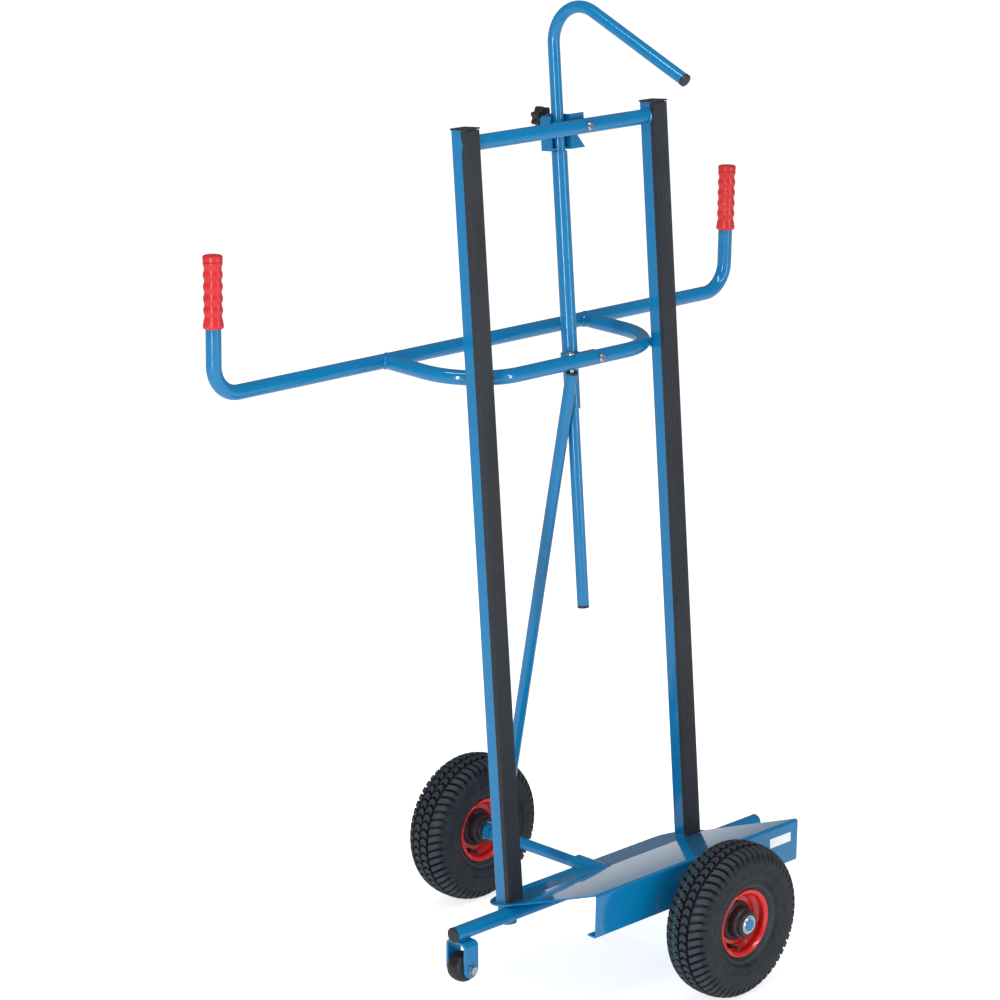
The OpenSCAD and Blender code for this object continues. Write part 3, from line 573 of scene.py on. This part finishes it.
weld = dict(radius=0.0021, ripple=0.0032, depth=0.16, sides=8, step=0.0008, taper=0.002, tube=0.0125,
            brace=0.0102, postHalf=0.0152, postFront=0.008, postBack=0.0352, loopBack=0.012)
joints = {joint["name"]: joint for joint in frame["record"]["behaviour"]["joints"]}
slideAxis = np.array(joints["hook_slide"]["axis"])
backAxis = np.array([0, slideAxis[2], -slideAxis[1]])
sideAxis = np.array([1.0, 0, 0])


def bead(path, away, closed):
    # A weld bead: a small tube along a path, whose radius swells with |sin| of the distance along it.
    step = np.roll(path, -1, axis=0) - np.roll(path, 1, axis=0) if closed else np.gradient(path, axis=0)
    tangent = step / np.linalg.norm(step, axis=1)[:, None]
    side = np.cross(tangent, away)
    side /= np.linalg.norm(side, axis=1)[:, None]
    up = np.cross(side, tangent)
    gaps = np.linalg.norm(np.diff(path, axis=0), axis=1)
    along = np.concatenate([[0], np.cumsum(gaps)])
    size = weld["radius"] * (1 + weld["depth"] * (np.abs(np.sin(math.pi * along / weld["ripple"])) - 0.5))
    if not closed:
        size = size * np.clip(np.minimum(along, along[-1] - along) / weld["taper"], 0.05, 1) ** 0.5
    angle = np.linspace(0, 2 * math.pi, weld["sides"], endpoint=False)[None, :, None]
    ring = np.cos(angle) * side[:, None, :] + 0.7 * np.sin(angle) * up[:, None, :]
    points = path[:, None, :] + size[:, None, None] * ring
    faces = gridFaces(len(path), weld["sides"], closed, True).tolist()
    if not closed:
        faces.append(list(range(weld["sides"])))
        faces.append([len(path) * weld["sides"] - 1 - i for i in range(weld["sides"])])
    return points.reshape(-1, 3), faces


def ringBead(centre, axisA, axisB, radius):
    # A bead round a circle spanned by two unit directions.
    count = int(2 * math.pi * radius / weld["step"])
    angle = np.linspace(0, 2 * math.pi, count, endpoint=False)[:, None]
    away = np.cos(angle) * axisA + np.sin(angle) * axisB
    return bead(centre + radius * away, away, True)


def saddleBead(centre, legDir, legRadius, barRadius):
    # Where a leg meets a bar along X of the same size: the leg's circle pushed onto the bar's surface.
    count = 110
    angle = np.linspace(0, 2 * math.pi, count, endpoint=False)[:, None]
    lift = np.cross(sideAxis, legDir)
    across = legRadius * np.sin(angle)
    reach = -np.sqrt(np.maximum(barRadius ** 2 - across ** 2, 0)) - 0.0006
    path = centre + legRadius * np.cos(angle) * sideAxis + across * lift + reach * legDir
    away = np.cos(angle) * sideAxis + np.sin(angle) * lift - 0.6 * legDir
    return bead(path, away, True)


def lineBead(start, end, away):
    count = max(12, int(np.linalg.norm(end - start) / weld["step"]))
    t = np.linspace(0, 1, count)[:, None]
    return bead(start + (end - start) * t, np.tile(away, (count, 1)), False)


def makeWelds():
    tube, brace = weld["tube"], weld["brace"]
    parts = []
    lo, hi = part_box("crossbar")
    middle = boxMiddle("crossbar")
    for x in (lo[0] + 0.001, hi[0] - 0.001):
        parts.append(ringBead(np.array([x, middle[1], middle[2]]), backAxis, slideAxis, tube + 0.0004))
    barLo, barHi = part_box("handle_bar")
    bar = np.array([0, barHi[1] - tube, barLo[2] + tube])
    loopLo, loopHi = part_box("loop_tube")
    legDir = np.array([0, bar[1] - loopLo[1] - tube, bar[2] - loopLo[2] - tube])
    legDir /= np.linalg.norm(legDir)
    for side in (-1, 1):
        leg = bar + side * (loopHi[0] - tube) * sideAxis
        parts.append(saddleBead(leg, legDir, tube + 0.0003, tube + 0.0003))
    # The loop's bends where they pass the inner back corners of the posts.
    for side, name in ((-1, "left_post"), (1, "right_post")):
        postLo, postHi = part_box(name)
        inner = postHi[0] if side < 0 else postLo[0]
        middle = boxMiddle("loop_bolt")
        spot = np.array([inner - side * 0.0004, middle[1], middle[2]]) + backAxis * weld["loopBack"]
        reach = slideAxis * 0.009
        parts.append(lineBead(spot - reach, spot + reach, np.array([-side * 0.8, 0.6, 0])))
    # Round the foot of each post, on the sloping strip.
    slope = math.tan(math.radians(shelf["stripSlope"]))
    for name in ("left_post", "right_post"):
        x = boxMiddle(name)[0]
        half, front, back = weld["postHalf"], weld["postFront"], weld["postBack"]
        outline = filletLine([(-half, front), (-half, back), (half, back), (half, front)], 0.003, 6)
        steps = np.linspace(0, 1, 20)[:-1, None]
        fine = np.vstack([a + (b - a) * steps for a, b in zip(outline, outline[1:])])
        up = fine[:, 1] * (slideAxis[1] - slope * slideAxis[2]) / (slideAxis[2] + slope * slideAxis[1])
        path = np.array([x, creaseY, creaseZ]) + fine[:, :1] * sideAxis + fine[:, 1:] * backAxis
        path = path + up[:, None] * slideAxis
        away = path - np.array([x, path[:, 1].mean(), path[:, 2].mean() - 0.02])
        parts.append(bead(path, away, False))
    # Both sides of the hump that the axle sleeve makes in the strip: x = root of (sleeve radius squared
    # less the strip's height over the axle squared).
    sleeve = boxMiddle("axle_sleeve")
    humpY = np.linspace(creaseY + 0.002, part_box("shelf")[1][1] - 0.002, 70)
    humpZ = creaseZ - (humpY - creaseY) * slope
    humpX = np.sqrt(np.maximum(0.015 ** 2 - (humpZ - sleeve[2]) ** 2, 0)) + 0.0006
    for side in (-1, 1):
        path = np.stack([side * humpX, humpY, humpZ + 0.0004], axis=1)
        parts.append(bead(path, np.tile([side * 0.7, 0, 0.7], (70, 1)), False))
    # The castor fork under the rail, and the foot of the brace on the axle sleeve.
    forkLo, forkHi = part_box("castor_fork")
    for side in (-1, 1):
        start = np.array([forkLo[0] + 0.003, railMiddle[1] + side * 0.0062, forkHi[2] + 0.0006])
        end = start + (forkHi[0] - forkLo[0] - 0.006) * sideAxis
        parts.append(lineBead(start, end, np.array([0, side * 0.7, 0.7])))
    braceLo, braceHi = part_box("brace_tube")
    top = np.array([boxMiddle("brace_cap")[0], braceLo[1] + 0.010, braceHi[2]])
    foot = np.array([0, braceHi[1] - 0.010, sleeve[2]])
    rise = (top - foot) / np.linalg.norm(top - foot)
    axisA = np.cross(rise, sideAxis)
    axisA /= np.linalg.norm(axisA)
    parts.append(ringBead(foot + brace * rise, axisA, np.cross(rise, axisA), brace))
    verts, faces = joinParts(parts)
    makePiece("weld_beads", verts, faces, "body", "blue_paint")


makeWelds()
print("welds made")

knob = dict(lobes=7, body=0.0168, lobe=0.0024, start=0.003, height=0.0172, edge=0.0026, dish=0.0016,
            reach=0.018, core=0.62, back=0.01025)


def makeKnob():
    # Star knob: radius = body + lobe * cos(lobes * angle), carried up a profile with rounded edges and a
    # dished top. Its axis lies along the screw, so the outline is turned into the clamp's directions.
    centre = boxMiddle("clamp_knob")
    screw = np.array(joints["knob_turn"]["pos_m"])
    axis, top = backAxis, knob["start"] + knob["height"]
    base = screw + axis * (np.dot(centre - screw, axis) - knob["back"])
    e = knob["edge"]
    bend = np.linspace(0, math.pi / 2, 6)
    low = [(1 - e * (1 - math.sin(a)) / knob["reach"], knob["start"] + e * (1 - math.cos(a))) for a in bend]
    high = [(1 - e * (1 - math.cos(a)) / knob["reach"], top - e + e * math.sin(a)) for a in bend]
    floorLevel = top - knob["dish"]
    dish = [(knob["core"], top - 0.0002), (0.5, floorLevel), (0.25, floorLevel), (0.001, floorLevel)]
    profile = np.array([(0.001, 0.0001), (0.5, 0.0001), (0.5, knob["start"])] + low + high + dish)
    angle = np.linspace(0, 2 * math.pi, 140, endpoint=False)[:, None]
    lobes = 1 + knob["lobe"] / knob["body"] * np.cos(knob["lobes"] * angle)
    share = np.clip((profile[:, 0] - knob["core"]) / 0.3, 0, 1)[None, :]
    radius = knob["body"] * profile[:, 0][None, :] * (1 + (lobes - 1) * share)
    points = base + (radius * np.cos(angle))[..., None] * sideAxis
    points = points + (radius * np.sin(angle))[..., None] * slideAxis
    points = points + (profile[:, 1] + 0 * angle)[..., None] * axis
    rows, cols = radius.shape
    faces = gridFaces(rows, cols, True, False).tolist()
    faces.append([i * cols for i in range(rows)])
    faces.append([i * cols + cols - 1 for i in range(rows)][::-1])
    makePiece("star_knob", points.reshape(-1, 3), faces, "knob", "black_plastic", ["clamp_knob"], 45)


makeKnob()
print("knob made")

stage = dict(floorRadius=60, worldLight=0.44, mirrored=0.3, backdrop=1.1, floorGlow=0.7, keyPower=80,
             fillPower=40, topPower=62)
shot = dict(place=(-3.8856, -3.6653, 2.2254), azimuth=-44.71, down=14.455, lens=120.68,
            shift=(0.0103, -0.040))


def makeFloor():
    angle = np.linspace(0, 2 * math.pi, 96, endpoint=False)
    rings = np.array([0.5, 2, 6, 20, stage["floorRadius"]])
    across, along = rings[:, None] * np.cos(angle), rings[:, None] * np.sin(angle)
    points = np.stack([across, along, 0 * across], axis=-1)
    verts = np.vstack([points.reshape(-1, 3), [[0, 0, 0]]])
    verts[:, 2] = cadBox[0][2]
    faces = gridFaces(len(rings), len(angle), False, True)[:, ::-1].tolist()
    faces += [[i, len(verts) - 1, (i + 1) % len(angle)] for i in range(len(angle))]
    mesh = bpy.data.meshes.new("floor")
    mesh.from_pydata(verts.tolist(), [], faces)
    floor = bpy.data.objects.new("floor", mesh)
    bpy.context.scene.collection.objects.link(floor)
    mesh.materials.append(floorPaper())


def softLight(name, place, target, size, power):
    data = bpy.data.lights.new(name, "AREA")
    data.shape, data.size, data.size_y, data.energy = "RECTANGLE", size[0], size[1], power
    lamp = bpy.data.objects.new(name, data)
    bpy.context.scene.collection.objects.link(lamp)
    lamp.location = place
    lamp.rotation_euler = (Vector(target) - Vector(place)).to_track_quat("-Z", "Y").to_euler()


makeFloor()
world = bpy.data.worlds.new("studio")
bpy.context.scene.world = world
world.use_nodes = True
worldTree = world.node_tree
# The camera sees a bright backdrop, while the object is lit by a dimmer one.
rays = worldTree.nodes.new("ShaderNodeLightPath")
glow = mapRange(worldTree, rays.outputs["Is Camera Ray"], stage["worldLight"], stage["backdrop"], 0, 1)
inGloss = mapRange(worldTree, rays.outputs["Is Glossy Ray"], 1, stage["mirrored"], 0, 1)
dimmed = worldTree.nodes.new("ShaderNodeMath")
dimmed.operation = "MULTIPLY"
worldTree.links.new(glow, dimmed.inputs[0])
worldTree.links.new(inGloss, dimmed.inputs[1])
sky = worldTree.nodes["Background"]
sky.inputs["Color"].default_value = (1, 1, 1, 1)
worldTree.links.new(dimmed.outputs[0], sky.inputs["Strength"])
softLight("key", (-4.2, -1.6, 1.6), (0, 0, 0.8), (0.35, 3.2), stage["keyPower"])
softLight("fill", (1.2, -4.2, 1.6), (0, 0, 0.8), (0.3, 3.2), stage["fillPower"])
softLight("top", (-0.9, -0.6, 4.2), (0, 0, 0.6), (3.2, 0.5), stage["topPower"])
bpy.context.scene.view_settings.view_transform = "Standard"

camera = bpy.data.objects.new("camera", bpy.data.cameras.new("camera"))
bpy.context.scene.collection.objects.link(camera)
camera.location = shot["place"]
camera.rotation_euler = (math.radians(90 - shot["down"]), 0, math.radians(shot["azimuth"]))
camera.data.sensor_width, camera.data.lens = 36, shot["lens"]
camera.data.shift_x, camera.data.shift_y = shot["shift"]
camera.data.clip_start, camera.data.clip_end = 0.1, 200
bpy.context.scene.camera = camera
print("stage, lights and camera set")
